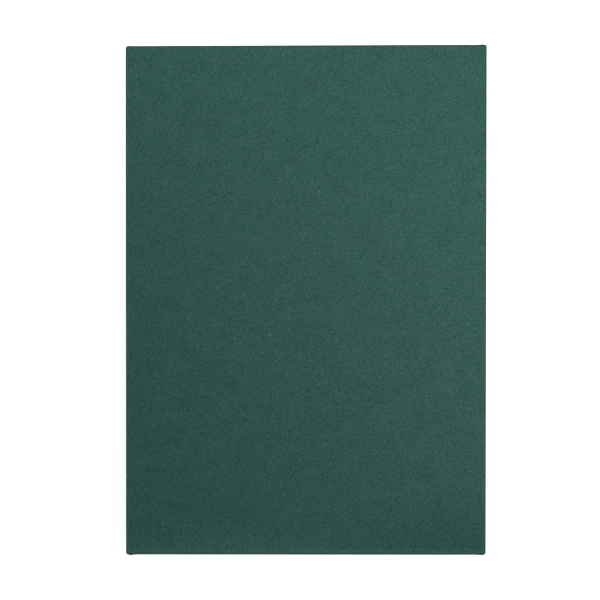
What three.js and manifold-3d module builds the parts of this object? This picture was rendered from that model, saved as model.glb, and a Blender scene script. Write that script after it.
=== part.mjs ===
import * as THREE from 'three';
import { mergeVertices } from 'three/addons/utils/BufferGeometryUtils.js';
import Module from 'manifold-3d';

const wasm = await Module();
wasm.setup();

// Boxed notebook: a cloth-covered presentation box with a lift-off lid, and the case-bound notebook in it.
// Millimetres. The box lies on its base with its origin at the middle of its footprint, +Z up.
// +X is the notebook's fore edge, -X its spine, +Y its head and -Y its tail.

// Sheet materials
const cloth = 0.3;
const paper = 0.15;
const glue = 0.05;

// The notebook
const coverWidth = 145;
const coverHeight = 210;
const coverBoard = 2;
const spineBoard = 2;
const jointGap = 6.3;
const coverTurnIn = 15;
const square = 3;
const leaves = 14;
const gauze = 0.25;
const hollowBack = 0.1;
const liningFlange = 26;
const liningShort = 14;
const bandBead = 1.3;
const leafGap = 0.05;

// The box
const boxBoard = 2;
const sidePlay = 0.7;
const endPlay = 0.5;
const headroom = 0.8;
const lidClearance = 0.25;
const restGap = 0.05;
const reveal = 7.5;
const floorTurnIn = 8;
const undersideTurnIn = 12;
const ceilingTurnIn = 9;
const liningMargin = 1;
const undersideMargin = 2.5;

// Where the cloth is folded round a corner of the box, a tab under it makes the end walls stand out
const tabBulge = 0.2;
const tabWidth = 3.4;

// Rounding of corners seen from above, of folded edges, and of the folds inside the box
const boxCorner = 1;
const coverCorner = 0.9;
const clothEdge = 0.5;
const insideCorner = 0.2;
const stepSlope = 0.6;

// Facets in a rounded corner and in a folded edge, and how far a cutting form runs past what it cuts
const cornerSteps = 4;
const edgeSteps = 3;
const over = 1;

// Cloth with its glue, and each board with a coat of cloth on both sides
const coat = cloth + glue;
const coverThick = coat + coverBoard + coat;
const spineThick = coat + spineBoard + coat;
const wallThick = coat + boxBoard + coat;

// Levels in the base, from the table up to the floor of the tray
const baseLipBottom = cloth + glue;
const baseBoardBottom = baseLipBottom + cloth + glue;
const baseBoardTop = baseBoardBottom + boxBoard;
const floorLipBottom = baseBoardTop + glue;
const floorLiningBottom = floorLipBottom + coat;
const bookBottom = floorLiningBottom + paper + glue;

// Depths into the notebook, from the outside of either cover
const pasteDepth = coverThick + glue;
const leafDepth = pasteDepth + paper + leafGap;
const blockDepth = leafDepth + paper + glue;
const bookThick = blockDepth + leaves + blockDepth;
const bookTop = bookBottom + bookThick;

// Levels above the notebook, from the rim of the base to the top of the lid
const rimTop = bookTop + headroom;
const ceilingLiningBottom = rimTop + restGap;
const ceilingLipBottom = ceilingLiningBottom + paper + glue;
const lidBoardBottom = ceilingLipBottom + coat;
const lidBoardTop = lidBoardBottom + boxBoard;
const lidTop = lidBoardTop + coat;

// Half sizes in plan, from the notebook outwards
const trayHalfX = coverWidth / 2 + sidePlay;
const trayHalfY = coverHeight / 2 + endPlay;
const baseHalfX = trayHalfX + wallThick;
const baseHalfY = trayHalfY + wallThick;
const hoodHalfX = baseHalfX + lidClearance;
const hoodHalfY = baseHalfY + tabBulge + lidClearance;
const lidHalfX = hoodHalfX + wallThick;
const lidHalfY = hoodHalfY + wallThick;

// The notebook's parts across its width, from the spine to the fore edge
const spineFace = -coverWidth / 2;
const foreFace = coverWidth / 2;
const hollowFace = spineFace + spineThick;
const coverBoardEdge = hollowFace + jointGap;
const liningFace = hollowFace + hollowBack;
const blockSpine = liningFace + gauze + glue;
const blockFore = foreFace - square;
const turnInFore = foreFace - coverTurnIn;
const flangeFore = liningFace + liningFlange;

// The notebook's parts along its height, from the middle
const coverHalfY = coverHeight / 2;
const blockHalfY = coverHalfY - square;
const turnInHalfY = coverHalfY - coverTurnIn;
const liningHalfY = blockHalfY - liningShort;

const finish = (color, roughness) => new THREE.MeshStandardMaterial({ color, roughness, metalness: 0 });
const bookCloth = finish(0x335550, 0.9);
const greyboard = finish(0x8b8378, 0.95);
const liningPaper = finish(0xe9e3d3, 0.88);
const pagePaper = finish(0xf3eedf, 0.86);
const mull = finish(0xd8d2bf, 0.95);
const bandCloth = finish(0x2c4a45, 0.8);

const assembly = new THREE.Group();

function add(name, geometry, material) {
  const mesh = new THREE.Mesh(geometry, material);
  mesh.name = name;
  assembly.add(mesh);
}

// The plan of a piece: its spine side, its fore side, half its length and the radius of its corners
const centred = (halfX, halfY, corner = 0) => ({ left: -halfX, right: halfX, halfY, corner });

function shrunk(plan, less) {
  return { ...plan, left: plan.left + less, right: plan.right - less, halfY: plan.halfY - less };
}

// The points of a plan, anticlockwise. At the corners its two end sides stand out by the bulge of
// the folded tab, which fades along the tab's width.
function outline({ left, right, halfY, corner, bulge = 0, tab = 0 }) {
  const points = [];
  const steps = corner > 0 ? cornerSteps : 0;
  for (let quarter = 0; quarter < 4; quarter += 1) {
    const signX = quarter === 0 || quarter === 3 ? 1 : -1;
    const signY = quarter < 2 ? 1 : -1;
    const middleX = signX > 0 ? right - corner : left + corner;
    const middleY = signY * (halfY - corner + bulge);
    const turn = [];
    for (let i = 0; i <= steps; i += 1) {
      const angle = ((quarter + i / cornerSteps) * Math.PI) / 2;
      turn.push([middleX + corner * Math.cos(angle), middleY + corner * Math.sin(angle)]);
    }
    const fade = [middleX - signX * tab, signY * halfY];
    if (tab > 0 && signX === signY) turn.push(fade);
    if (tab > 0 && signX !== signY) turn.unshift(fade);
    points.push(...turn);
  }
  return points;
}

// A closed geometry from points and triangles, turned so that its faces point outwards
function closed(points, triangles) {
  const corner = (i) => new THREE.Vector3().fromArray(points, 3 * triangles[i]);
  let volume = 0;
  for (let i = 0; i < triangles.length; i += 3) {
    volume += corner(i).dot(corner(i + 1).cross(corner(i + 2)));
  }
  const geometry = new THREE.BufferGeometry();
  geometry.setAttribute('position', new THREE.Float32BufferAttribute(points, 3));
  geometry.setIndex(volume < 0 ? triangles.reverse() : triangles);
  return geometry;
}

// A solid through level outlines, each { points, level }. It ends in flat caps, or it closes on
// itself as a frame does.
function loft(rings, isFrame = false) {
  const count = rings[0].points.length;
  const points = rings.flatMap((ring) => ring.points.flatMap(([x, y]) => [x, y, ring.level]));
  const triangles = [];
  const last = rings.length - 1;
  for (let k = 0; k < (isFrame ? rings.length : last); k += 1) {
    const here = k * count;
    const next = ((k + 1) % rings.length) * count;
    for (let i = 0; i < count; i += 1) {
      const j = (i + 1) % count;
      triangles.push(here + i, here + j, next + j);
      triangles.push(here + i, next + j, next + i);
    }
  }
  for (const k of isFrame ? [] : [0, last]) {
    const middle = points.length / 3;
    const centreX = rings[k].points.reduce((sum, [x]) => sum + x, 0) / count;
    points.push(centreX, 0, rings[k].level);
    for (let i = 0; i < count; i += 1) {
      const pair = [k * count + i, k * count + ((i + 1) % count)];
      triangles.push(middle, ...(k === 0 ? pair.reverse() : pair));
    }
  }
  return closed(points, triangles);
}

// A flat panel with square edges
function panel(plan, bottom, top) {
  const points = outline(plan);
  return loft([{ points, level: bottom }, { points, level: top }]);
}

function block(left, right, halfY, bottom, top) {
  return panel({ left, right, halfY, corner: 0 }, bottom, top);
}

// A thin sheet whose border lies on the turned-in cloth and whose middle steps down onto the board
function steppedSheet(border, recess, borderLevel, recessLevel, thickness) {
  const middle = outline(shrunk(recess, stepSlope));
  const step = outline(recess);
  const edge = outline(border);
  return loft([
    { points: middle, level: recessLevel },
    { points: step, level: borderLevel },
    { points: edge, level: borderLevel },
    { points: edge, level: borderLevel + thickness },
    { points: step, level: borderLevel + thickness },
    { points: middle, level: recessLevel + thickness },
  ]);
}

// Part of a rounded edge, as [inset, level] pairs round a centre, from one half turn to another
function arc(inset, level, radius, from, to) {
  const turn = [];
  for (let i = 0; i <= edgeSteps; i += 1) {
    const angle = (from + ((to - from) * i) / edgeSteps) * Math.PI;
    turn.push([inset + radius * Math.cos(angle), level + radius * Math.sin(angle)]);
  }
  return turn;
}

// The outer side of the cloth stands out over the tabs, the inner side doesn't
const overTabs = (section) => section.map(([inset, level]) => [inset, level, tabBulge]);

// Cloth folded round the walls of the box. Its section is a row of [inset, level, bulge] points, with
// the inset measured from the outer face.
function foldedCloth(halfX, halfY, section, isFrame) {
  const rings = section.map(([inset, level, bulge = 0]) => {
    const corner = Math.max(boxCorner - inset, insideCorner);
    const plan = centred(halfX - inset, halfY - inset, corner);
    return { level, points: outline({ ...plan, bulge, tab: tabWidth }) };
  });
  return loft(rings, isFrame);
}

// Four walls standing on edge: two long ones with rounded outer corners, and two short ones between
function addWalls(part, halfX, halfY, bottom, top) {
  const innerX = halfX - boxBoard;
  const innerY = halfY - boxBoard;
  const corner = boxCorner - coat;
  const extruded = (shape) => {
    const settings = { depth: top - bottom, bevelEnabled: false, curveSegments: cornerSteps };
    return new THREE.ExtrudeGeometry(shape, settings).translate(0, 0, bottom);
  };
  for (const [name, side] of [['spine_side', -1], ['fore_side', 1]]) {
    const shape = new THREE.Shape();
    shape.moveTo(side * innerX, -halfY);
    shape.lineTo(side * (halfX - corner), -halfY);
    shape.quadraticCurveTo(side * halfX, -halfY, side * halfX, -halfY + corner);
    shape.lineTo(side * halfX, halfY - corner);
    shape.quadraticCurveTo(side * halfX, halfY, side * (halfX - corner), halfY);
    shape.lineTo(side * innerX, halfY);
    shape.closePath();
    add(`${part}_wall_${name}`, extruded(shape), greyboard);
  }
  for (const [name, side] of [['head', 1], ['tail', -1]]) {
    const shape = new THREE.Shape();
    shape.moveTo(-innerX + glue, side * innerY);
    shape.lineTo(innerX - glue, side * innerY);
    shape.lineTo(innerX - glue, side * halfY);
    shape.lineTo(-innerX + glue, side * halfY);
    shape.closePath();
    add(`${part}_wall_${name}`, extruded(shape), greyboard);
  }
}

function addBase() {
  const boardX = baseHalfX - coat;
  const boardY = baseHalfY - coat;
  const boardPlan = centred(boardX, boardY, boxCorner - coat);
  add('base_board', panel(boardPlan, baseBoardBottom, baseBoardTop), greyboard);
  addWalls('base', boardX, boardY, baseBoardTop + glue, rimTop - coat);

  // One strip of cloth: in under the base, up the walls, over the rim, down inside and in on the floor
  const rim = rimTop - clothEdge;
  const strip = [
    [undersideTurnIn, baseLipBottom + cloth],
    [undersideTurnIn, baseLipBottom],
    ...overTabs(arc(clothEdge, baseLipBottom + clothEdge, clothEdge, 1.5, 1)),
    ...overTabs(arc(clothEdge, rim, clothEdge, 1, 0.5)),
    ...arc(wallThick - clothEdge, rim, clothEdge, 0.5, 0),
    [wallThick, floorLipBottom + cloth],
    [wallThick + floorTurnIn, floorLipBottom + cloth],
    [wallThick + floorTurnIn, floorLipBottom],
    [wallThick - cloth, floorLipBottom],
    [wallThick - cloth, rimTop - cloth],
    [cloth, rimTop - cloth],
    [cloth, baseLipBottom + cloth],
  ];
  add('base_cloth', foldedCloth(baseHalfX, baseHalfY, strip, true), bookCloth);

  // A panel of the same cloth under the base covers the turned-in edge of the strip
  const base = centred(baseHalfX, baseHalfY, insideCorner);
  const underPlan = shrunk(base, undersideMargin);
  const underRecess = shrunk(base, undersideTurnIn + glue);
  add('base_underside_cloth', steppedSheet(underPlan, underRecess, 0, coat, cloth), bookCloth);

  // The paper on the floor of the tray
  const tray = centred(trayHalfX, trayHalfY);
  const floorPlan = shrunk(tray, liningMargin);
  const floorRecess = shrunk(tray, floorTurnIn + glue);
  const floor = steppedSheet(floorPlan, floorRecess, floorLiningBottom, floorLiningBottom - coat, paper);
  add('base_floor_lining', floor, liningPaper);
}

function addLid() {
  const boardX = lidHalfX - coat;
  const boardY = lidHalfY - coat;
  const boardPlan = centred(boardX, boardY, boxCorner - coat);
  add('lid_top_board', panel(boardPlan, lidBoardBottom, lidBoardTop), greyboard);
  addWalls('lid', boardX, boardY, reveal + coat, lidBoardBottom - glue);

  // One sheet of cloth: over the top, down the walls, round the rim, up inside and in on the ceiling
  const rim = reveal + clothEdge;
  const sheet = [
    ...overTabs(arc(clothEdge, lidTop - clothEdge, clothEdge, 0.5, 1)),
    ...overTabs(arc(clothEdge, rim, clothEdge, 1, 1.5)),
    ...arc(wallThick - clothEdge, rim, clothEdge, 1.5, 2),
    [wallThick, ceilingLipBottom],
    [wallThick + ceilingTurnIn, ceilingLipBottom],
    [wallThick + ceilingTurnIn, ceilingLipBottom + cloth],
    [wallThick - cloth, ceilingLipBottom + cloth],
    [wallThick - cloth, reveal + cloth],
    [cloth, reveal + cloth],
    [cloth, lidTop - cloth],
  ];
  add('lid_cloth', foldedCloth(lidHalfX, lidHalfY, sheet, false), bookCloth);

  // The paper on the lid's ceiling
  const hood = centred(hoodHalfX, hoodHalfY);
  const plan = shrunk(hood, liningMargin);
  const recess = shrunk(hood, ceilingTurnIn + glue);
  const ceiling = steppedSheet(plan, recess, ceilingLiningBottom, ceilingLiningBottom + coat, paper);
  add('lid_lining', ceiling, liningPaper);
}

// Solids that are joined or cut, and the geometry they leave
function solid(geometry) {
  const plain = geometry.clone();
  plain.deleteAttribute('normal');
  plain.deleteAttribute('uv');
  const merged = mergeVertices(plain);
  return new wasm.Manifold(new wasm.Mesh({
    numProp: 3,
    vertProperties: new Float32Array(merged.attributes.position.array),
    triVerts: new Uint32Array(merged.index.array),
  }));
}

function geometryOf(body) {
  const mesh = body.getMesh();
  const geometry = new THREE.BufferGeometry();
  geometry.setAttribute('position', new THREE.BufferAttribute(new Float32Array(mesh.vertProperties), 3));
  geometry.setIndex(new THREE.BufferAttribute(new Uint32Array(mesh.triVerts), 1));
  return geometry;
}

// A depth into the notebook as a level, from its back cover (side -1) or its front cover (side 1)
const depthLevel = (side, depth) => (side < 0 ? bookBottom + depth : bookTop - depth);

// Two depths as levels, the lower one first
function levelsOf(side, from, to) {
  return [depthLevel(side, from), depthLevel(side, to)].sort((a, b) => a - b);
}

// A section drawn across the notebook, with levels for its second value, run from tail to head
function alongSpine(shape, halfLength) {
  const settings = { depth: 2 * halfLength, bevelEnabled: false, curveSegments: cornerSteps };
  return new THREE.ExtrudeGeometry(shape, settings).rotateX(Math.PI / 2).translate(0, halfLength, 0);
}

function coverBoardPanel(side, grow) {
  const plan = {
    left: coverBoardEdge - grow,
    right: foreFace - coat + grow,
    halfY: coverHalfY - coat + grow,
    corner: coverCorner - coat + grow,
  };
  return panel(plan, ...levelsOf(side, coat - grow, coat + coverBoard + grow));
}

function spineBoardPanel(grow) {
  const plan = {
    left: spineFace + coat - grow,
    right: spineFace + coat + spineBoard + grow,
    halfY: coverHalfY - coat + grow,
    corner: coverCorner - coat + grow,
  };
  return panel(plan, depthLevel(-1, coat - grow), depthLevel(1, coat - grow));
}

// The closed case as one block, with the cloth's rounded edges
function caseBlock() {
  const section = [
    ...arc(clothEdge, bookBottom + clothEdge, clothEdge, 1.5, 1),
    ...arc(clothEdge, bookTop - clothEdge, clothEdge, 1, 0.5),
  ];
  return loft(section.map(([inset, level]) => {
    const plan = centred(foreFace - inset, coverHalfY - inset, coverCorner - inset);
    return { level, points: outline(plan) };
  }));
}

// The groove pressed into the cloth between the spine board and a cover board
function jointGroove(side) {
  const level = (depth) => depthLevel(side, depth);
  const deep = coverThick - coat - cloth;
  const near = hollowFace;
  const far = coverBoardEdge - coat;
  const bend = clothEdge;
  const shape = new THREE.Shape();
  shape.moveTo(far + bend, level(-over));
  shape.lineTo(far + bend, level(0));
  shape.quadraticCurveTo(far, level(0), far, level(bend));
  shape.lineTo(far, level(deep - bend));
  shape.quadraticCurveTo(far, level(deep), far - bend, level(deep));
  shape.lineTo(near + bend, level(deep));
  shape.quadraticCurveTo(near, level(deep), near, level(deep - bend));
  shape.lineTo(near, level(bend));
  shape.quadraticCurveTo(near, level(0), near - bend, level(0));
  shape.lineTo(near - bend, level(-over));
  shape.closePath();
  return alongSpine(shape, coverHalfY + over);
}

// One sheet of cloth over both covers and the spine, turned in round the boards on all sides
function caseCloth() {
  const between = (depth) => [depthLevel(-1, depth), depthLevel(1, depth)];
  const cavity = block(hollowFace, foreFace + over, coverHalfY + over, ...between(coverThick));
  const spineSide = block(hollowFace - coat, liningFace, turnInHalfY, ...between(coat + coverBoard));
  const cuts = [cavity, spineSide, spineBoardPanel(glue)];
  for (const side of [-1, 1]) {
    const coverSide = levelsOf(side, coat + coverBoard, coverThick + glue);
    cuts.push(coverBoardPanel(side, glue));
    cuts.push(jointGroove(side));
    cuts.push(block(liningFace, turnInFore, turnInHalfY, ...coverSide));
  }
  return geometryOf(cuts.reduce((body, cut) => body.subtract(solid(cut)), solid(caseBlock())));
}

// A folded sheet: one leaf pasted to the cover over the turned-in cloth, the other next to the pages
function endpaper(side) {
  const plan = { left: blockSpine, right: blockFore, halfY: blockHalfY, corner: 0 };
  const recess = {
    left: flangeFore + glue,
    right: turnInFore - glue,
    halfY: turnInHalfY - glue,
    corner: 0,
  };
  const border = depthLevel(side, pasteDepth);
  const middle = depthLevel(side, pasteDepth - coat);
  const pasted = steppedSheet(plan, recess, border, middle, -side * paper);
  const leafEnd = leafDepth + paper;
  const loose = panel(plan, ...levelsOf(side, leafDepth, leafEnd));
  const fold = panel({ ...plan, right: blockSpine + paper }, ...levelsOf(side, pasteDepth, leafEnd));
  return geometryOf(solid(pasted).add(solid(fold)).add(solid(loose)));
}

// The gauze glued round the back of the pages, with a flange along the inside of each cover
function spineLining() {
  const low = depthLevel(-1, coat + coverBoard + glue);
  const high = depthLevel(1, coat + coverBoard + glue);
  const shape = new THREE.Shape();
  shape.moveTo(flangeFore, low);
  shape.lineTo(flangeFore, low + gauze);
  shape.lineTo(liningFace + gauze, low + gauze);
  shape.lineTo(liningFace + gauze, high - gauze);
  shape.lineTo(flangeFore, high - gauze);
  shape.lineTo(flangeFore, high);
  shape.lineTo(liningFace, high);
  shape.lineTo(liningFace, low);
  shape.closePath();
  return alongSpine(shape, liningHalfY);
}

// A headband: a tape glued to the back of the pages, and a rounded bead that sits on their end
function headband(side) {
  const back = liningFace;
  const front = back + bandBead;
  const tapeEnd = side * (liningHalfY + glue);
  const seat = side * (blockHalfY + glue);
  const crown = seat + side * bandBead;
  const shape = new THREE.Shape();
  shape.moveTo(back, tapeEnd);
  shape.lineTo(back + gauze, tapeEnd);
  shape.lineTo(back + gauze, seat);
  shape.lineTo(front, seat);
  shape.bezierCurveTo(front, crown, back, crown, back, seat);
  shape.closePath();
  const settings = { depth: leaves, bevelEnabled: false, curveSegments: 2 * cornerSteps };
  return new THREE.ExtrudeGeometry(shape, settings).translate(0, 0, depthLevel(-1, blockDepth));
}

function addNotebook() {
  const pages = levelsOf(-1, blockDepth, blockDepth + leaves);
  add('notebook_back_board', coverBoardPanel(-1, 0), greyboard);
  add('notebook_front_board', coverBoardPanel(1, 0), greyboard);
  add('notebook_spine_board', spineBoardPanel(0), greyboard);
  add('notebook_case_cloth', caseCloth(), bookCloth);
  add('text_block', block(blockSpine, blockFore, blockHalfY, ...pages), pagePaper);
  add('back_endpaper', endpaper(-1), liningPaper);
  add('front_endpaper', endpaper(1), liningPaper);
  add('spine_lining', spineLining(), mull);
  add('head_band', headband(1), bandCloth);
  add('tail_band', headband(-1), bandCloth);
}

addBase();
addNotebook();
addLid();

export default assembly;
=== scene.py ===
"""A cloth-covered box with a lift-off lid, and the case-bound notebook that lies in it."""
import math

import bmesh
import bpy
import numpy as np
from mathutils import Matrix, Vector, noise


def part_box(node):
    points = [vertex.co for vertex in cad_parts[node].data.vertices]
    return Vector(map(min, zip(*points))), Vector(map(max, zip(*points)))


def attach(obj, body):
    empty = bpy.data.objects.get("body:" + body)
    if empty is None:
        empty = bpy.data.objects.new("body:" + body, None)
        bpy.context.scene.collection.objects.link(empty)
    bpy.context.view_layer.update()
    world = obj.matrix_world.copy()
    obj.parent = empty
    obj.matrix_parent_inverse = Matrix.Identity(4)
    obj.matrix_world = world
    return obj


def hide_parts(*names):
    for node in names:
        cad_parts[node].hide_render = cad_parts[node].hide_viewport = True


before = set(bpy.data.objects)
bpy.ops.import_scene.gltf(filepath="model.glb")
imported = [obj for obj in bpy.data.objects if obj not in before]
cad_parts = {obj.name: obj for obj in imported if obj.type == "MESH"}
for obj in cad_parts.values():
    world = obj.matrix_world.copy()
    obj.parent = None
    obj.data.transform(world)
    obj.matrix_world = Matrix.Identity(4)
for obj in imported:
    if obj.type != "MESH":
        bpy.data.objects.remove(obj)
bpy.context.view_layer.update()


# The boards
# Grey board, pressed from waste paper in 2 mm sheets, makes the walls and floors of the box and the
# covers of the notebook. They are glued edge to edge and hidden under the cloth.

mm = 0.001
board_grey = (0.245, 0.222, 0.190, 1)
board_dark = (0.105, 0.092, 0.078, 1)
board_pale = (0.400, 0.375, 0.330, 1)
board_fibre = 1.1 * mm
board_fleck = 0.45 * mm
board_relief = 0.05 * mm
board_gloss = 0.25
board_dullness = 0.86
board_dull_change = 0.12
pale_fibres = (0.35, 0.70)
dark_flecks = (0.66, 0.78)


class Nodes:
    """A tree of shader nodes."""

    def __init__(self, tree):
        self.tree = tree

    def node(self, kind, settings, sockets, output=0):
        """Adds a node, with its settings made before its sockets get their values or links."""
        made = self.tree.nodes.new("ShaderNode" + kind)
        for name, value in settings.items():
            setattr(made, name, value)
        for name, value in sockets.items():
            self.feed(made.inputs[name], value)
        return Signal(self, made.outputs[output])

    def feed(self, socket, value):
        if isinstance(value, Signal):
            self.tree.links.new(value.socket, socket)
        else:
            socket.default_value = value


class Signal:
    """One output of a shader node. A sum of signals and numbers adds Math nodes to its tree."""

    def __init__(self, nodes, socket):
        self.nodes = nodes
        self.socket = socket

    def math(self, operation, first, second):
        return self.nodes.node("Math", {"operation": operation}, {0: first, 1: second})

    def __add__(self, other):
        return self.math("ADD", self, other)

    def __radd__(self, other):
        return self.math("ADD", other, self)

    def __sub__(self, other):
        return self.math("SUBTRACT", self, other)

    def __rsub__(self, other):
        return self.math("SUBTRACT", other, self)

    def __mul__(self, other):
        return self.math("MULTIPLY", self, other)

    def __rmul__(self, other):
        return self.math("MULTIPLY", other, self)

    def __gt__(self, other):
        return self.math("GREATER_THAN", self, other)

    def __mod__(self, other):
        return self.math("FLOORED_MODULO", self, other)

    def hump(self):
        """Rises from 0 at each whole number to 1 halfway to the next."""
        part = self % 1.0
        return 4 * (part * (1 - part))


class Finish(Nodes):
    """A finish built from shader nodes round one Principled shader."""

    def __init__(self, name, **plain):
        self.material = bpy.data.materials.new(name)
        self.material.use_nodes = True
        super().__init__(self.material.node_tree)
        self.shader = self.tree.nodes["Principled BSDF"]
        for socket, value in plain.items():
            self.shader.inputs[socket.replace("_", " ")].default_value = value

    def place(self):
        """Where a point of the piece is, in metres."""
        return self.node("TexCoord", {}, {}, output="Object")

    def stretched(self, place, across, along, up):
        """The same place, counted in steps of the three sizes."""
        steps = (1 / across, 1 / along, 1 / up)
        return self.node("VectorMath", {"operation": "MULTIPLY"}, {0: place, 1: steps})

    def moved(self, place, shift):
        return self.node("VectorMath", {"operation": "ADD"}, {0: place, 1: shift})

    def reach(self, place, axis):
        """How far a place lies along one axis."""
        return self.node("SeparateXYZ", {}, {"Vector": place}, output=axis)

    def cloud(self, place, detail):
        """Soft noise from 0 to 1, about one swelling for each step of its place."""
        values = {"Vector": place, "Scale": 1.0, "Detail": detail, "Roughness": 0.5}
        return self.node("TexNoise", {"noise_dimensions": "3D"}, values)

    def chance(self, place, output="Value"):
        """A number or colour from 0 to 1 that is another one for each whole step of its place."""
        whole = self.node("VectorMath", {"operation": "FLOOR"}, {0: place})
        return self.node("TexWhiteNoise", {"noise_dimensions": "3D"}, {"Vector": whole}, output)

    def between(self, signal, low, high):
        """The signal spread so that low becomes 0 and high becomes 1, with both ends eased."""
        values = {"Value": signal, 1: low, 2: high}
        return self.node("MapRange", {"interpolation_type": "SMOOTHSTEP"}, values)

    def mix(self, share, first, second):
        values = {0: share, 6: first, 7: second}
        return self.node("Mix", {"data_type": "RGBA"}, values, output=2)

    def relief(self, height, depth):
        """Bumps of that height signal, at that depth in metres."""
        bump = self.node("Bump", {}, {"Strength": 1.0, "Distance": depth, "Height": height})
        self.feed(self.shader.inputs["Normal"], bump)

    def colour(self, value):
        self.feed(self.shader.inputs["Base Color"], value)

    def roughness(self, value):
        self.feed(self.shader.inputs["Roughness"], value)


def greyboard_finish():
    finish = Finish("greyboard", Specular_IOR_Level=board_gloss)
    place = finish.place()
    fibres = finish.cloud(finish.stretched(place, board_fibre, 2 * board_fibre, board_fibre), detail=4)
    flecks = finish.cloud(finish.stretched(place, board_fleck, board_fleck, board_fleck), detail=1)
    body = finish.mix(finish.between(fibres, *pale_fibres), board_grey, board_pale)
    finish.colour(finish.mix(finish.between(flecks, *dark_flecks), body, board_dark))
    finish.roughness(board_dullness + board_dull_change * fibres)
    finish.relief(fibres, board_relief)
    return finish.material


def dress(nodes, material):
    """Gives nodes of the frame their finish."""
    for name in nodes:
        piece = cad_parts[name]
        piece.data.materials.clear()
        piece.data.materials.append(material)


walls = ("wall_spine_side", "wall_fore_side", "wall_head", "wall_tail")
boards = ["base_board", "lid_top_board"]
boards += [f"base_{wall}" for wall in walls]
boards += [f"lid_{wall}" for wall in walls]
boards += ["notebook_back_board", "notebook_front_board", "notebook_spine_board"]
dress(boards, greyboard_finish())


# The cloth of the base
# One strip of green book cloth is glued round the four walls, with its long edges turned over the
# rim and under the base. Its ends and corners are cut, so that a fine seam stands at each corner.

cloth_thick = 0.3 * mm
glue_line = 0.05 * mm
fold_round = 0.5 * mm
fold_steps = 5
box_corner = 1.0 * mm
inside_corner = 0.2 * mm
corner_lines = 4
corner_room = 0.2 * mm
under_turn_in = 12 * mm
floor_turn_in = 8 * mm
base_tab = 3.4 * mm
tab_lines = 4
seam_in = 0.15 * mm
seam_gap = 0.04 * mm
mitre_depth = 0.12 * mm

cloth_wave = 0.035 * mm
wave_length = 38 * mm
settled = 2 * mm
grid_cell = 2.8 * mm
fold_margin = 0.25 * mm
wall_margin = 2.5 * mm
wall_lines = 7
inside_margin = 1 * mm
inside_lines = 6

cloth_deep = (0.0122, 0.0498, 0.0440, 1)
cloth_mean = (0.0212, 0.0815, 0.0695, 1)
cloth_pale = (0.0460, 0.1230, 0.1045, 1)
cloth_brown = (0.0520, 0.0820, 0.0660, 1)
cloth_blue = (0.0130, 0.0800, 0.0860, 1)
lint_colour = (0.110, 0.190, 0.165, 1)
dye_least = (0.75, 0.84, 0.90)
dye_spread = (0.53, 0.36, 0.22)
cloth_gloss = 0.22
cloth_nap = 0.08
nap_roughness = 0.4
cloth_dullness = 0.84
cloth_dull_change = 0.12

thread_pitch = 0.3 * mm
thread_drift = 9 * mm
drift_sideways = 1.3
slub_length = 7 * mm
slub_width = 0.42 * mm
patch_length = 11 * mm
patch_width = 8 * mm
lint_size = 0.39 * mm
lint_rarity = 0.9998
crossing_tone = 0.72
weft_tone = 0.05
slub_tone = 0.08
patch_tone = 0.22
middle_tone = -0.04
deep_tones = (0.0, 0.55)
pale_tones = (0.45, 1.0)
brown_hues = (0.92, 0.99)
blue_hues = (0.10, 0.01)
hue_draw = (37.0, 11.0, 5.0)
thread_relief = 0.35
crossing_relief = 0.4
slub_relief = 0.5
weave_depth = 0.02 * mm

# Painted light at the edges of the box: painted shade right over an edge and a painted highlight just
# inside it, weakest at the head.
painted_highlight_tone = 0.24
painted_highlight_in = 0.85 * mm
painted_highlight_width = 0.28 * mm
edge_shade_tone = 0.34
edge_shade_in = 0.2 * mm
edge_shade_width = 0.25 * mm
head_edge_light = 0.15

tail_left = (False, False)
tail_right = (True, False)
head_right = (True, True)
head_left = (False, True)
base_ears = {tail_left: 0.2 * mm, tail_right: 0.17 * mm, head_right: 0.15 * mm, head_left: 0.19 * mm}

# The way that cloth faces on a fold, in half turns.
facing_in = 0
facing_up = 0.5
facing_out = 1
facing_down = 1.5
facing_in_again = 2


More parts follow.
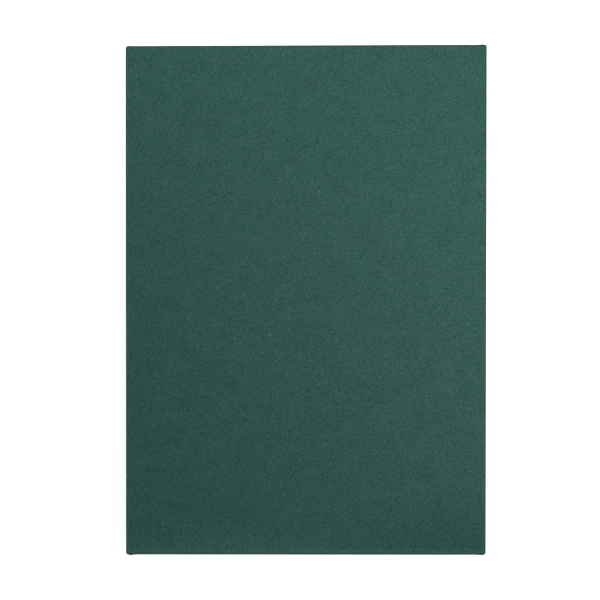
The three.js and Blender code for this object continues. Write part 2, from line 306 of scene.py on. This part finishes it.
def cloth_finish(name, on_blank):
    """Plain-woven book cloth. Its threads follow the flat blank that a piece was cut from, where the
    piece carries it, and otherwise the piece's own place."""
    finish = Finish(name, Specular_IOR_Level=cloth_gloss, Sheen_Weight=cloth_nap,
                    Sheen_Roughness=nap_roughness)
    if on_blank:
        place = finish.node("Attribute", {"attribute_name": "blank"}, {}, output="Vector")
    else:
        place = finish.place()
    drift = finish.cloud(finish.stretched(place, thread_drift, thread_drift, thread_drift), detail=1)
    shift = finish.node("CombineXYZ", {}, {"X": drift, "Y": drift_sideways * drift, "Z": 0.0})
    threads = finish.moved(finish.stretched(place, thread_pitch, thread_pitch, thread_pitch), shift)
    crossing = finish.chance(threads)
    weft = finish.chance(finish.stretched(place, slub_length, thread_pitch, slub_length))
    slub = finish.cloud(finish.stretched(place, slub_length, slub_width, slub_length), detail=2)
    patch = finish.cloud(finish.stretched(place, patch_length, patch_width, patch_length), detail=1)
    # This attribute holds painted shade and highlight at the box's edges and the tones of a few spots.
    painted_light_and_tone = finish.node("Attribute", {"attribute_name": "painted_light_and_tone"}, {}, output="Fac")
    tone = crossing_tone * crossing + weft_tone * weft + slub_tone * slub + patch_tone * patch
    tone = tone + painted_light_and_tone + middle_tone
    body = finish.mix(finish.between(tone, *deep_tones), cloth_deep, cloth_mean)
    body = finish.mix(finish.between(tone, *pale_tones), body, cloth_pale)
    hue = finish.chance(finish.moved(threads, hue_draw))
    body = finish.mix(finish.between(hue, *brown_hues), body, cloth_brown)
    body = finish.mix(finish.between(hue, *blue_hues), body, cloth_blue)
    dye = finish.chance(threads, output="Color")
    dye = finish.node("VectorMath", {"operation": "MULTIPLY_ADD"}, {0: dye, 1: dye_spread, 2: dye_least})
    body = finish.node("VectorMath", {"operation": "MULTIPLY"}, {0: body, 1: dye})
    lint = finish.chance(finish.stretched(place, lint_size, lint_size, lint_size)) > lint_rarity
    finish.colour(finish.mix(lint, body, lint_colour))
    finish.roughness(cloth_dullness + cloth_dull_change * crossing)
    pillow = finish.reach(threads, "X").hump() + finish.reach(threads, "Y").hump()
    height = thread_relief * pillow + crossing_relief * crossing + slub_relief * slub
    finish.relief(height, weave_depth)
    return finish.material


def eased(share):
    """A share kept from 0 to 1 that leaves both of its ends slowly."""
    share = min(1.0, max(0.0, share))
    return share * share * (3 - 2 * share)


def unevenness(x, y, z, run=0):
    """How far cloth stands off its board for the lumps of glue and fibre under it. Another run has
    other lumps."""
    here = Vector((x / wave_length, y / wave_length, z / wave_length + run))
    return cloth_wave * noise.noise(here)


def grid_lines(half, tab):
    """The lines of a sheet's grid across one side, as shares of its straight half length and, past
    that, of its rounded corners. A side with a tab has lines at the cut edge of the flap over it."""
    straight = half - box_corner
    marks = [0.0]
    if tab:
        marks += [seam_in, seam_in + seam_gap, 2 * seam_in + seam_gap]
        marks += [seam_in + tab * step / tab_lines for step in range(1, tab_lines + 1)]
    start = marks[-1] + grid_cell
    inner = np.linspace(-1 + start / straight, 1 - start / straight, round(2 * straight / grid_cell))
    low = [-1 + mark / straight for mark in marks]
    high = [-line for line in reversed(low)]
    past = corner_lines - 1
    along = np.array([-1.0] * past + low + list(inner) + high + [1.0] * past)
    turn = np.zeros(len(along))
    steps = np.arange(1, corner_lines) / past
    turn[:past] = -steps[::-1]
    turn[-past:] = steps
    return along, turn


class Wrap:
    """Cloth folded round a rectangular tray. Its rings run round the tray and follow one another
    from one edge of the cloth to the other. Each ring is (inset, level, share of the ears, mitre)."""

    def __init__(self, half_x, half_y, ears, tab, strays):
        self.half_x = half_x
        self.half_y = half_y
        self.ears = ears
        self.tab = tab
        self.strays = strays
        self.x_along, self.x_turn = grid_lines(half_x, tab)
        self.y_along, self.y_turn = grid_lines(half_y, 0)
        last_x = len(self.x_along) - 1
        last_y = len(self.y_along) - 1
        right = [(last_x, j) for j in range(last_y)]
        head = [(i, last_y) for i in range(last_x, 0, -1)]
        left = [(0, j) for j in range(last_y, 0, -1)]
        tail = [(i, 0) for i in range(last_x)]
        self.border = np.array(right + head + left + tail)
        self.points = []
        self.faces = []
        self.blanks = []

    def corner(self, inset):
        """The corner's radius and the straight half lengths of a ring at that inset."""
        radius = max(box_corner - inset, inside_corner)
        return radius, self.half_x - inset - radius, self.half_y - inset - radius

    def ear(self, x, y):
        """How far the flap on an end wall stands out over the tab, at a point of that wall."""
        inside = self.half_x - box_corner - seam_in - abs(x)
        if inside < seam_gap / 2:
            return 0.0
        return self.ears[(x > 0, y > 0)] * eased(1 - inside / self.tab)

    def strayed(self, x, y):
        """A point of the outside, moved with the corners that are a little out of square."""
        moved_x = x
        moved_y = y
        for (right, head), (stray_x, stray_y) in self.strays.items():
            share_x = (1 + (x if right else -x) / self.half_x) / 2
            share_y = (1 + (y if head else -y) / self.half_y) / 2
            moved_x += share_x * share_y * stray_x
            moved_y += share_x * share_y * stray_y
        return moved_x, moved_y

    def ring(self, inset, level, share, mitre):
        """The points of one ring round the tray."""
        radius, straight_x, straight_y = self.corner(inset)
        i, j = self.border.T
        turn_x = self.x_turn[i]
        turn_y = self.y_turn[j]
        on_side = np.abs(turn_x) == 1
        at_corner = on_side & (np.abs(turn_y) == 1)
        # Half of the turn of a rounded corner lies on the side of the border, and half on its end.
        angle = np.where(on_side, np.abs(turn_y), 2 - np.abs(turn_x)) * math.pi / 4
        out_x = np.cos(angle) * np.sign(turn_x)
        out_y = np.sin(angle) * np.sign(turn_y)
        x = self.x_along[i] * straight_x + out_x * radius
        y = self.y_along[j] * straight_y + out_y * radius
        points = []
        for k in range(len(i)):
            off = 0.0
            if share == 1:
                off = unevenness(x[k], y[k], level) * min(1.0, level / settled)
            ear = 0.0
            if share > 0 and not on_side[k]:
                ear = share * self.ear(x[k], y[k])
            place = (x[k] + out_x[k] * off, y[k] + out_y[k] * (ear + off))
            if inset < wall_thick / 2:
                place = self.strayed(*place)
            points.append((*place, level + (mitre if at_corner[k] else 0.0)))
        return points

    def add_rings(self, section, closes):
        """Joins the rings of a section by faces, and gives each face its place on the blank."""
        starts = []
        shares = []
        for inset, level, share, mitre in section:
            starts.append(len(self.points))
            shares.append(share)
            self.points += self.ring(inset, level, share, mitre)
        reach = [0.0]
        for (inset, level, *_), (next_inset, next_level, *_) in zip(section, section[1:] + section[:1]):
            reach.append(reach[-1] + math.hypot(next_inset - inset, next_level - level))
        girth_x, girth_y, on_end, inner_end = self.girths()
        count = len(self.border)
        pairs = len(section) if closes else len(section) - 1
        for k in range(pairs):
            after = (k + 1) % len(section)
            here = starts[k]
            there = starts[after]
            ends = on_end if max(shares[k], shares[after]) > 0 else inner_end
            for a in range(count):
                b = (a + 1) % count
                self.faces.append((here + a, here + b, there + b, there + a))
                corners = ((a, k), (b, k), (b, k + 1), (a, k + 1))
                if ends[a]:
                    side = math.copysign(1, self.points[here + a][1])
                    self.blanks.append([(girth_x[c], side * (self.half_y + reach[r])) for c, r in corners])
                else:
                    side = math.copysign(1, self.points[here + a][0] + self.points[here + b][0])
                    self.blanks.append([(side * (self.half_x + reach[r]), girth_y[c]) for c, r in corners])
        return starts

    def girths(self):
        """How far along an end and along a side each point of a ring lies, and which faces belong to
        an end: outside, those within the cut edges of its flap, and inside, those up to the mitres."""
        i, j = self.border.T
        straight_x = self.half_x - box_corner
        straight_y = self.half_y - box_corner
        turn_x = self.x_turn[i]
        turn_y = self.y_turn[j]
        on_head_or_tail = np.abs(turn_y) == 1
        from_middle = np.abs(self.x_along[i] * straight_x)
        girth_x = self.x_along[i] * straight_x + turn_x * box_corner
        eighth = math.pi / 4 * box_corner
        beyond = np.where(on_head_or_tail, (2 - np.abs(turn_x)) * eighth, 0)
        beyond = np.where(np.abs(turn_x) == 1, np.abs(turn_y) * eighth, beyond)
        past = np.where((turn_x == 0) & (turn_y != 0), straight_x - from_middle, 0)
        girth_y = self.y_along[j] * straight_y + np.sign(turn_y) * (beyond + past)
        cut = straight_x - seam_in - seam_gap / 2
        flap = on_head_or_tail & (from_middle < cut) & (turn_x == 0)
        on_end = flap & np.roll(flap, -1)
        inner_end = on_head_or_tail & np.roll(on_head_or_tail, -1)
        return girth_x, girth_y, on_end, inner_end

    def add_cap(self, ring_start, inset, height, faces_down):
        """Fills a ring with the sheet's grid. The height of a point is a function of its place."""
        radius, straight_x, straight_y = self.corner(inset)
        index = {tuple(pair): ring_start + k for k, pair in enumerate(self.border)}
        grid_x = self.x_along * straight_x + self.x_turn * radius
        grid_y = self.y_along * straight_y + self.y_turn * radius
        for i in range(1, len(grid_x) - 1):
            for j in range(1, len(grid_y) - 1):
                index[(i, j)] = len(self.points)
                self.points.append((*self.strayed(grid_x[i], grid_y[j]), height(grid_x[i], grid_y[j])))
        for i in range(len(grid_x) - 1):
            for j in range(len(grid_y) - 1):
                face = [index[(i, j)], index[(i + 1, j)], index[(i + 1, j + 1)], index[(i, j + 1)]]
                if faces_down:
                    face.reverse()
                self.faces.append(tuple(face))
                self.blanks.append([self.points[k][:2] for k in face])

    def painted_light_and_tone(self, x, y, z, edges):
        """How much the cloth's tone changes near an edge of the box: painted shade right over the edge,
        painted highlight just inside it, and both more so towards the tail."""
        from_side = max(0.0, self.half_x - abs(x))
        from_end = max(0.0, self.half_y - abs(y))
        near = min(math.hypot(min(from_side, from_end), z - edge) for edge in edges)
        near = min(near, math.hypot(from_side, from_end))
        pale = painted_highlight_tone * math.exp(-((near - painted_highlight_in) / painted_highlight_width) ** 2)
        dark = edge_shade_tone * math.exp(-((near - edge_shade_in) / edge_shade_width) ** 2)
        to_tail = (1 - y / self.half_y) / 2
        return (pale - dark) * (head_edge_light + (1 - head_edge_light) * to_tail)

    def made(self, name, material, edges=(), pale_and_shaded_spots=()):
        """The finished mesh, as a piece of the scene. Its tone carries painted shade and highlight at the
        given edges and the tones of the given spots.
        """
        mesh = bpy.data.meshes.new(name)
        mesh.from_pydata(self.points, [], self.faces)
        blank = mesh.attributes.new("blank", "FLOAT_VECTOR", "CORNER")
        flat = [value for face in self.blanks for u, v in face for value in (u, v, 0.0)]
        blank.data.foreach_set("vector", flat)
        if edges:
            tones = [self.painted_light_and_tone(*point, edges) for point in self.points]
            for spot in pale_and_shaded_spots:
                for k, (x, y, z) in enumerate(self.points):
                    away = ((x - spot["x"]) / spot["wide"]) ** 2 + ((y - spot["y"]) / spot["long"]) ** 2
                    tones[k] += spot["tone"] * math.exp(-away)
            painted_light_and_tone = mesh.attributes.new("painted_light_and_tone", "FLOAT", "POINT")
            painted_light_and_tone.data.foreach_set("value", tones)
        mesh.polygons.foreach_set("use_smooth", [True] * len(mesh.polygons))
        mesh.materials.append(material)
        mesh.update()
        piece = bpy.data.objects.new(name, mesh)
        bpy.context.scene.collection.objects.link(piece)
        return piece


def fold(inset, level, from_turn, to_turn, share, mitre=0.0, rising=False):
    """Rings round a fold of the cloth, from one facing to another. Where it is rising, the tab under
    it shows the more the further it faces out or in."""
    rings = []
    for step in range(fold_steps + 1):
        angle = math.pi * (from_turn + (to_turn - from_turn) * step / fold_steps)
        inward = fold_round * math.cos(angle)
        upward = fold_round * math.sin(angle)
        here = share * abs(math.cos(angle)) if rising else share
        rings.append((inset + inward, level + upward, here, mitre))
    return rings


def wall_rings(bottom, top):
    """Rings up the outside of a wall, close to its two folds first and last."""
    levels = np.linspace(bottom + wall_margin, top - wall_margin, wall_lines)
    return [(0.0, level, 1.0, 0.0) for level in (bottom + fold_margin, *levels, top - fold_margin)]


def plain_rings(*places):
    """Rings at places (inset, level) that no tab or mitre changes."""
    return [(inset, level, 0.0, 0.0) for inset, level in places]


book_cloth = cloth_finish("book_cloth", on_blank=True)
board_low, board_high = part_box("base_board")
base_low, base_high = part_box("base_cloth")
wall_thick = board_high.z - board_low.z + 2 * (cloth_thick + glue_line)
base_half_x = base_high.x
base_half_y = base_high.y - corner_room
base_rim = base_high.z
under_lip = base_low.z
floor_lip = board_high.z + glue_line
floor_cloth_top = floor_lip + cloth_thick
rim_fold = base_rim - fold_round
foot_fold = under_lip + fold_round
base_inside = np.linspace(rim_fold - inside_margin, floor_cloth_top + inside_margin, inside_lines)

base_wrap = Wrap(base_half_x, base_half_y, base_ears, base_tab, strays={})
base_section = plain_rings((under_turn_in, under_lip + cloth_thick), (under_turn_in, under_lip))
base_section += fold(fold_round, foot_fold, facing_down, facing_out, share=1.0)
base_section += wall_rings(foot_fold, rim_fold)
base_section += fold(fold_round, rim_fold, facing_out, facing_up, share=1.0)
base_section += fold(wall_thick - fold_round, rim_fold, facing_up, facing_in, share=0.0, mitre=-mitre_depth)
base_section += plain_rings(*[(wall_thick, level) for level in base_inside])
base_section += plain_rings(
    (wall_thick, floor_cloth_top),
    (wall_thick + floor_turn_in, floor_cloth_top),
    (wall_thick + floor_turn_in, floor_lip),
    (wall_thick - cloth_thick, floor_lip),
    (wall_thick - cloth_thick, base_rim - cloth_thick),
    (cloth_thick, base_rim - cloth_thick),
    (cloth_thick, under_lip + cloth_thick),
)
base_wrap.add_rings(base_section, closes=True)
# The base's cloth gets painted shade and highlight at its rim and at its foot.
base_cloth = base_wrap.made("base_cloth_folded", book_cloth, edges=(base_rim, under_lip))
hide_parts("base_cloth")
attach(base_cloth, "base")


# The cloth under the base
# A panel of the same cloth, cut a little smaller than the base, is glued on under it. It covers the
# edge of the strip that is turned in there, and its middle lies up against the board.

panel_slope = 0.6 * mm
panel_bevel = 0.08 * mm
panel_low, panel_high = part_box("base_underside_cloth")
panel_step = panel_high.x - (base_half_x - under_turn_in) + glue_line
panel_rise = panel_high.z - panel_low.z - cloth_thick


def panel_level(x, y):
    """The level of the panel's lower face: on the table at its border, up on the board inside."""
    inside = min(panel_high.x - abs(x), panel_high.y - abs(y)) - panel_step
    return panel_rise * eased(inside / panel_slope)


def panel_top(x, y):
    return panel_level(x, y) + cloth_thick


panel_wrap = Wrap(panel_high.x, panel_high.y, base_ears, tab=0, strays={})
panel_edge = plain_rings(
    (panel_bevel, 0.0),
    (0.0, panel_bevel),
    (0.0, cloth_thick - panel_bevel),
    (panel_bevel, cloth_thick),
)
panel_starts = panel_wrap.add_rings(panel_edge, closes=False)
panel_wrap.add_cap(panel_starts[0], panel_bevel, panel_level, faces_down=True)
panel_wrap.add_cap(panel_starts[-1], panel_bevel, panel_top, faces_down=False)
under_cloth = panel_wrap.made("base_underside_cloth_panel", book_cloth)
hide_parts("base_underside_cloth")
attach(under_cloth, "base")


# The linings and endpapers
# Off-white laid paper is pasted on the floor of the tray and on the ceiling of the lid, over the
# edges of the turned-in cloth. The notebook's endpapers are folded from a like sheet.

paper_white = (0.800, 0.760, 0.655, 1)
paper_shade = (0.700, 0.655, 0.545, 1)
paper_fibre = 0.9 * mm
fibre_stretch = 2.2
paper_cloud = 14 * mm
paper_gloss = 0.35
paper_dullness = 0.78
paper_dull_change = 0.15
paper_relief = 0.02 * mm
fibre_tone = 0.6
cloud_tone = 0.4
white_tones = (0.35, 0.65)


def paper_finish(name):
    finish = Finish(name, Specular_IOR_Level=paper_gloss)
    place = finish.place()
    laid = finish.stretched(place, paper_fibre, fibre_stretch * paper_fibre, paper_fibre)
    fibres = finish.cloud(laid, detail=5)
    mottle = finish.cloud(finish.stretched(place, paper_cloud, paper_cloud, paper_cloud), detail=3)
    white_share = finish.between(fibre_tone * fibres + cloud_tone * mottle, *white_tones)
    finish.colour(finish.mix(white_share, paper_shade, paper_white))
    finish.roughness(paper_dullness + paper_dull_change * fibres)
    finish.relief(fibres, paper_relief)
    return finish.material


dress(["base_floor_lining", "lid_lining"], paper_finish("lining_paper"))
dress(["front_endpaper", "back_endpaper"], paper_finish("endpaper"))


# The pages
# The sections of paper are sewn, glued at the back and cut smooth on the other three sides, where
# the edges of the leaves show as fine lines.

page_pale = (0.840, 0.790, 0.670, 1)
page_gap = (0.480, 0.420, 0.320, 1)
leaf_thick = 0.11 * mm
section_thick = 1.4 * mm
leaf_waver = 12 * mm
waver_height = 0.4 * mm
section_reach = 90 * mm
page_gloss = 0.3
page_dullness = 0.82
page_dull_change = 0.1
page_relief = 0.06 * mm
leaf_tone = 0.55
waver_tone = 0.35
section_tone = 0.3
page_tones = (0.30, 0.75)


def pages_finish():
    finish = Finish("pages", Specular_IOR_Level=page_gloss)
    place = finish.place()
    level = finish.reach(finish.stretched(place, mm, mm, leaf_thick), "Z")
    leaves = finish.chance(finish.node("CombineXYZ", {}, {"X": 0.0, "Y": 0.0, "Z": level}))
    waver = finish.cloud(finish.stretched(place, leaf_waver, leaf_waver, waver_height), detail=3)
    sections = finish.cloud(finish.stretched(place, section_reach, section_reach, section_thick), detail=1)
    line = leaf_tone * leaves + waver_tone * waver + section_tone * sections
    finish.colour(finish.mix(finish.between(line, *page_tones), page_gap, page_pale))
    finish.roughness(page_dullness + page_dull_change * waver)
    finish.relief(line, page_relief)
    return finish.material


dress(["text_block"], pages_finish())


# The back of the pages
# Gauze is glued round the back of the block, with a flange under each pasted endpaper. A woven band
# with a striped bead is glued on at the head and the tail.

gauze_pale = (0.640, 0.600, 0.500, 1)
gauze_gap = (0.250, 0.225, 0.180, 1)
gauze_pitch = 0.9 * mm
gauze_gloss = 0.2
gauze_dullness = 0.9
gauze_dull_change = 0.05
gauze_relief = 0.1 * mm
gauze_holes = (0.75, 0.45)
band_green = (0.020, 0.075, 0.062, 1)
band_cream = (0.620, 0.570, 0.430, 1)
band_strand = 0.25 * mm
band_stripe = 0.9 * mm
band_turns = 4
band_gloss = 0.35
band_nap = 0.2
band_dullness = 0.62
band_dull_change = 0.2
band_relief = 0.08 * mm
cream_part = (0.42, 0.50)


def gauze_finish():
    finish = Finish("gauze", Specular_IOR_Level=gauze_gloss)
    threads = finish.stretched(finish.place(), gauze_pitch, gauze_pitch, gauze_pitch)
    hole = finish.reach(threads, "X").hump() * finish.reach(threads, "Y").hump()
    finish.colour(finish.mix(finish.between(hole, *gauze_holes), gauze_gap, gauze_pale))
    finish.roughness(gauze_dullness + gauze_dull_change * hole)
    finish.relief(1 - hole, gauze_relief)
    return finish.material


def band_finish():
    finish = Finish("headband", Specular_IOR_Level=band_gloss, Sheen_Weight=band_nap)
    threads = finish.stretched(finish.place(), band_strand, band_strand, band_stripe)
    level = finish.reach(threads, "Z")
    finish.colour(finish.mix(finish.between(level % 1.0, *cream_part), band_green, band_cream))
    finish.roughness(band_dullness + band_dull_change * finish.chance(threads))
    finish.relief((level * band_turns) % 1.0, band_relief)
    return finish.material


dress(["spine_lining"], gauze_finish())
dress(["head_band", "tail_band"], band_finish())


# The cloth of the notebook's case
# One sheet of cloth is glued over both covers and the spine, pressed into a groove beside the spine
# and turned in round the boards. Its corners are cut off before the turn-ins are folded.

case_turn_in = 15 * mm
case_crease = math.radians(50)
weld_gap = 0.0001 * mm

case_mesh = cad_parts["notebook_case_cloth"].data.copy()
case_form = bmesh.new()
case_form.from_mesh(case_mesh)
bmesh.ops.remove_doubles(case_form, verts=case_form.verts, dist=weld_gap)
case_form.to_mesh(case_mesh)
case_form.free()
case_mesh.polygons.foreach_set("use_smooth", [True] * len(case_mesh.polygons))
case_mesh.set_sharp_from_angle(angle=case_crease)
case_mesh.materials.clear()
case_mesh.materials.append(cloth_finish("case_cloth", on_blank=False))
case_cloth = bpy.data.objects.new("notebook_case_cloth_folded", case_mesh)
bpy.context.scene.collection.objects.link(case_cloth)
case_cloth.modifiers.new("large faces stay flat", "WEIGHTED_NORMAL").keep_sharp = True
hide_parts("notebook_case_cloth")
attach(case_cloth, "base")

# A cover is as thick as a wall of the box: a board between two layers of glued cloth.
case_low, case_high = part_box("notebook_case_cloth")
case_past_edge = wall_thick + case_turn_in
case_width = 2 * (case_high.x - case_low.x + case_past_edge) + case_high.z - case_low.z
case_length = case_high.y - case_low.y + 2 * case_past_edge
case_area = case_width * case_length - 2 * case_past_edge * case_past_edge


# The cloth of the lid
# One sheet covers the top, comes down the walls and turns in round the rim and on to the ceiling.
# At each corner a tab is folded round under the end wall's flap, so that the flap stands out there.
# Two of the corners are glued a little out of square.

ceiling_turn_in = 9 * mm
lid_tab = 4 * mm
lid_inside_lines = 5
rim_flat = 6 * mm
top_run = 3
lid_ears = {tail_left: 0.35 * mm, tail_right: 0.22 * mm, head_right: 0.13 * mm, head_left: 0.11 * mm}
lid_strays = {head_right: (0.20 * mm, 0.38 * mm), tail_left: (0.0, -0.14 * mm)}

lid_low, lid_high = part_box("lid_cloth")
lid_board_low, lid_board_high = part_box("lid_top_board")
lid_half_x = lid_high.x
lid_half_y = lid_high.y - corner_room
lid_top = lid_high.z
lid_rim = lid_low.z
ceiling_cloth_top = lid_board_low.z - glue_line
ceiling_lip = ceiling_cloth_top - cloth_thick
top_fold = lid_top - fold_round
lid_fold = lid_rim + fold_round
lid_inside = np.linspace(lid_fold + inside_margin, ceiling_lip - inside_margin, lid_inside_lines)
# A paler strip along the tail edge on the spine side.
pale_tail_patch = dict(x=-50 * mm, y=-lid_half_y, wide=60 * mm, long=9 * mm, tone=0.18)
# Painted shade over the cloth near the corner of the fore edge and the tail.
shaded_corner = dict(x=70 * mm, y=-108 * mm, wide=40 * mm, long=16 * mm, tone=-0.20)


def top_level(x, y):
    """The lid's top, with the slight unevenness of the board and glue under the cloth."""
    from_rim = min(lid_half_x - abs(x), lid_half_y - abs(y))
    share = min(1.0, max(0.0, from_rim / rim_flat))
    return lid_top + share * unevenness(x, y, lid_top, top_run)


def top_underside(x, y):
    return top_level(x, y) - cloth_thick


lid_wrap = Wrap(lid_half_x, lid_half_y, lid_ears, lid_tab, lid_strays)
lid_section = fold(fold_round, top_fold, facing_up, facing_out, share=1.0, rising=True)
lid_section += wall_rings(lid_fold, top_fold)[::-1]
lid_section += fold(fold_round, lid_fold, facing_out, facing_down, share=1.0)
lid_section += fold(wall_thick - fold_round, lid_fold, facing_down, facing_in_again, share=0.0,
                    mitre=mitre_depth)
lid_section += plain_rings(*[(wall_thick, level) for level in lid_inside])
lid_section += plain_rings(
    (wall_thick, ceiling_lip),
    (wall_thick + ceiling_turn_in, ceiling_lip),
    (wall_thick + ceiling_turn_in, ceiling_cloth_top),
    (wall_thick - cloth_thick, ceiling_cloth_top),
    (wall_thick - cloth_thick, lid_rim + cloth_thick),
    (cloth_thick, lid_rim + cloth_thick),
    (cloth_thick, lid_top - cloth_thick),
)
lid_starts = lid_wrap.add_rings(lid_section, closes=False)
lid_wrap.add_cap(lid_starts[0], fold_round, top_level, faces_down=False)
lid_wrap.add_cap(lid_starts[-1], cloth_thick, top_underside, faces_down=True)
# The lid's cloth gets painted shade and highlight at its top and rim edges, the paler strip at the tail and
# the patch of painted shade.
lid_edges = (lid_top, lid_rim)
lid_cloth = lid_wrap.made("lid_cloth_folded", book_cloth, lid_edges, pale_and_shaded_spots=(pale_tail_patch, shaded_corner))
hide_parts("lid_cloth")
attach(lid_cloth, "lid")

lid_flap = (lid_top - lid_rim) + wall_thick + (ceiling_lip - lid_rim) + ceiling_turn_in
lid_flat = (2 * (lid_half_x + lid_flap), 2 * (lid_half_y + lid_flap))
lid_area = lid_flat[0] * lid_flat[1] - 4 * lid_flap * lid_flap


# The table and the light
# The box lies on a white table under soft studio lamps, the strongest from the right. The room is
# white to the camera alone, because so pale a room would turn the matt cloth grey.

table_half = 3.0
table_tone = (0.80, 0.80, 0.80, 1)
table_dullness = 0.9
table_glow = 0.80
room_light = 0.12
white = (1, 1, 1, 1)

table_mesh = bpy.data.meshes.new("table")
table_corners = [(-table_half, -table_half, 0.0), (table_half, -table_half, 0.0),
                 (table_half, table_half, 0.0), (-table_half, table_half, 0.0)]
table_mesh.from_pydata(table_corners, [], [(0, 1, 2, 3)])
table_piece = bpy.data.objects.new("table", table_mesh)
bpy.context.scene.collection.objects.link(table_piece)

table_top = Finish("table_white", Base_Color=table_tone, Roughness=table_dullness, Emission_Color=white)
seen = table_top.node("LightPath", {}, {}, output="Is Camera Ray")
mirrored = table_top.node("LightPath", {}, {}, output="Is Glossy Ray")
seen_through = table_top.node("LightPath", {}, {}, output="Is Transmission Ray")
table_top.feed(table_top.shader.inputs["Emission Strength"], table_glow * (seen + mirrored + seen_through))
table_mesh.materials.append(table_top.material)

world = bpy.data.worlds.new("studio")
world.use_nodes = True
bpy.context.scene.world = world
room = Nodes(world.node_tree)
room_wall = world.node_tree.nodes["Background"]
room.feed(room_wall.inputs["Color"], white)
room_seen = room.node("LightPath", {}, {}, output="Is Camera Ray")
room.feed(room_wall.inputs["Strength"], room_light + (1 - room_light) * room_seen)


def lamp(name, azimuth, elevation, distance, size, power, tint):
    """A square soft lamp that looks at the box, with its place in degrees and metres and its power in
    watts. Azimuth 0 is the fore edge, 90 the head."""
    light = bpy.data.lights.new(name, "AREA")
    light.size = size
    light.energy = power
    light.color = tint
    piece = bpy.data.objects.new(name, light)
    turn = math.radians(azimuth)
    rise = math.radians(elevation)
    out = Vector((math.cos(turn) * math.cos(rise), math.sin(turn) * math.cos(rise), math.sin(rise)))
    piece.location = out * distance
    piece.rotation_euler = (-out).to_track_quat("-Z", "Y").to_euler()
    piece.visible_camera = False
    bpy.context.scene.collection.objects.link(piece)


lamp("key", azimuth=20, elevation=60, distance=0.42, size=0.20, power=1.12, tint=(1.0, 1.0, 1.0))
lamp("head", azimuth=110, elevation=30, distance=0.42, size=0.25, power=0.68, tint=(0.93, 1.02, 1.06))
lamp("low_warm", azimuth=340, elevation=20, distance=0.40, size=0.25, power=0.60, tint=(1.30, 0.93, 0.80))
lamp("left_cool", azimuth=205, elevation=35, distance=0.60, size=0.35, power=0.33, tint=(0.40, 1.08, 1.25))


# The view
# The camera looks straight down on the lid with a long lens, a touch out of square, as if from a
# copy stand.

camera_lens = 100.0
camera_sensor = 36.0
nearest = 0.01
farthest = 20.0
eye = Vector((6.55 * mm, 7.46 * mm, 756.4 * mm))
lean = (math.radians(-0.569), math.radians(0.711), math.radians(0.010))

camera = bpy.data.cameras.new("camera")
camera.lens = camera_lens
camera.sensor_width = camera_sensor
camera.clip_start = nearest
camera.clip_end = farthest
camera_piece = bpy.data.objects.new("camera", camera)
camera_piece.location = eye
camera_piece.rotation_euler = lean
bpy.context.scene.collection.objects.link(camera_piece)
bpy.context.scene.camera = camera_piece
bpy.context.scene.view_settings.view_transform = "Standard"
